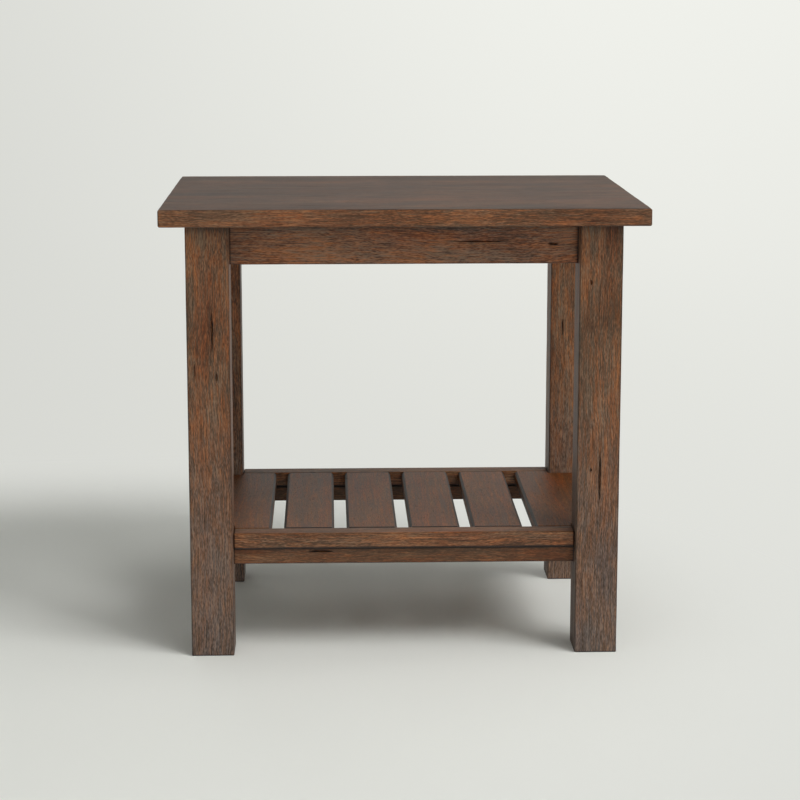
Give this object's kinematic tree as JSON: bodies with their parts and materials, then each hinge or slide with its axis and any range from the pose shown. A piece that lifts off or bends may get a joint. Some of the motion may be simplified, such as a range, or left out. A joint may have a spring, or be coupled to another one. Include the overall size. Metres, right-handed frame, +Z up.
{
  "type": "end table with shelf",
  "caption": "Rectangular stained wooden end table with square legs, a plain overhanging top, aprons and a low slatted shelf.",
  "frame": {"origin": "on the floor under the middle of the top", "axes": "+X to the right along the top's length, +Y to the back, +Z up"},
  "size_m": [0.56, 0.435, 0.531],
  "materials": {
    "top": "satin stained wood, grain along the length",
    "legs": "satin stained wood, upright grain",
    "aprons": "satin stained wood, grain along the board",
    "stretchers": "satin stained wood, grain along the bar",
    "shelf_rails": "satin stained wood, grain along the rail",
    "shelf_boards": "satin stained wood, grain from front to back",
    "corner_blocks": "unstained sawn wood",
    "screws": "zinc plated"
  },
  "bodies": {
    "root": {"top": "top", "leg_front_left": "legs", "leg_front_right": "legs", "leg_rear_left": "legs", "leg_rear_right": "legs", "apron_front": "aprons", "apron_rear": "aprons", "apron_left": "aprons", "apron_right": "aprons", "stretcher_front": "stretchers", "stretcher_rear": "stretchers", "stretcher_left": "stretchers", "stretcher_right": "stretchers", "shelf_rail_front": "shelf_rails", "shelf_rail_rear": "shelf_rails", "shelf_slat_1": "shelf_boards", "shelf_slat_2": "shelf_boards", "shelf_slat_3": "shelf_boards", "shelf_slat_4": "shelf_boards", "shelf_board_left": "shelf_boards", "shelf_board_right": "shelf_boards", "corner_block_front_left": "corner_blocks", "corner_block_front_right": "corner_blocks", "corner_block_rear_left": "corner_blocks", "corner_block_rear_right": "corner_blocks", "top_screws": "screws", "shelf_screws": "screws"}
  },
  "joints": []
}
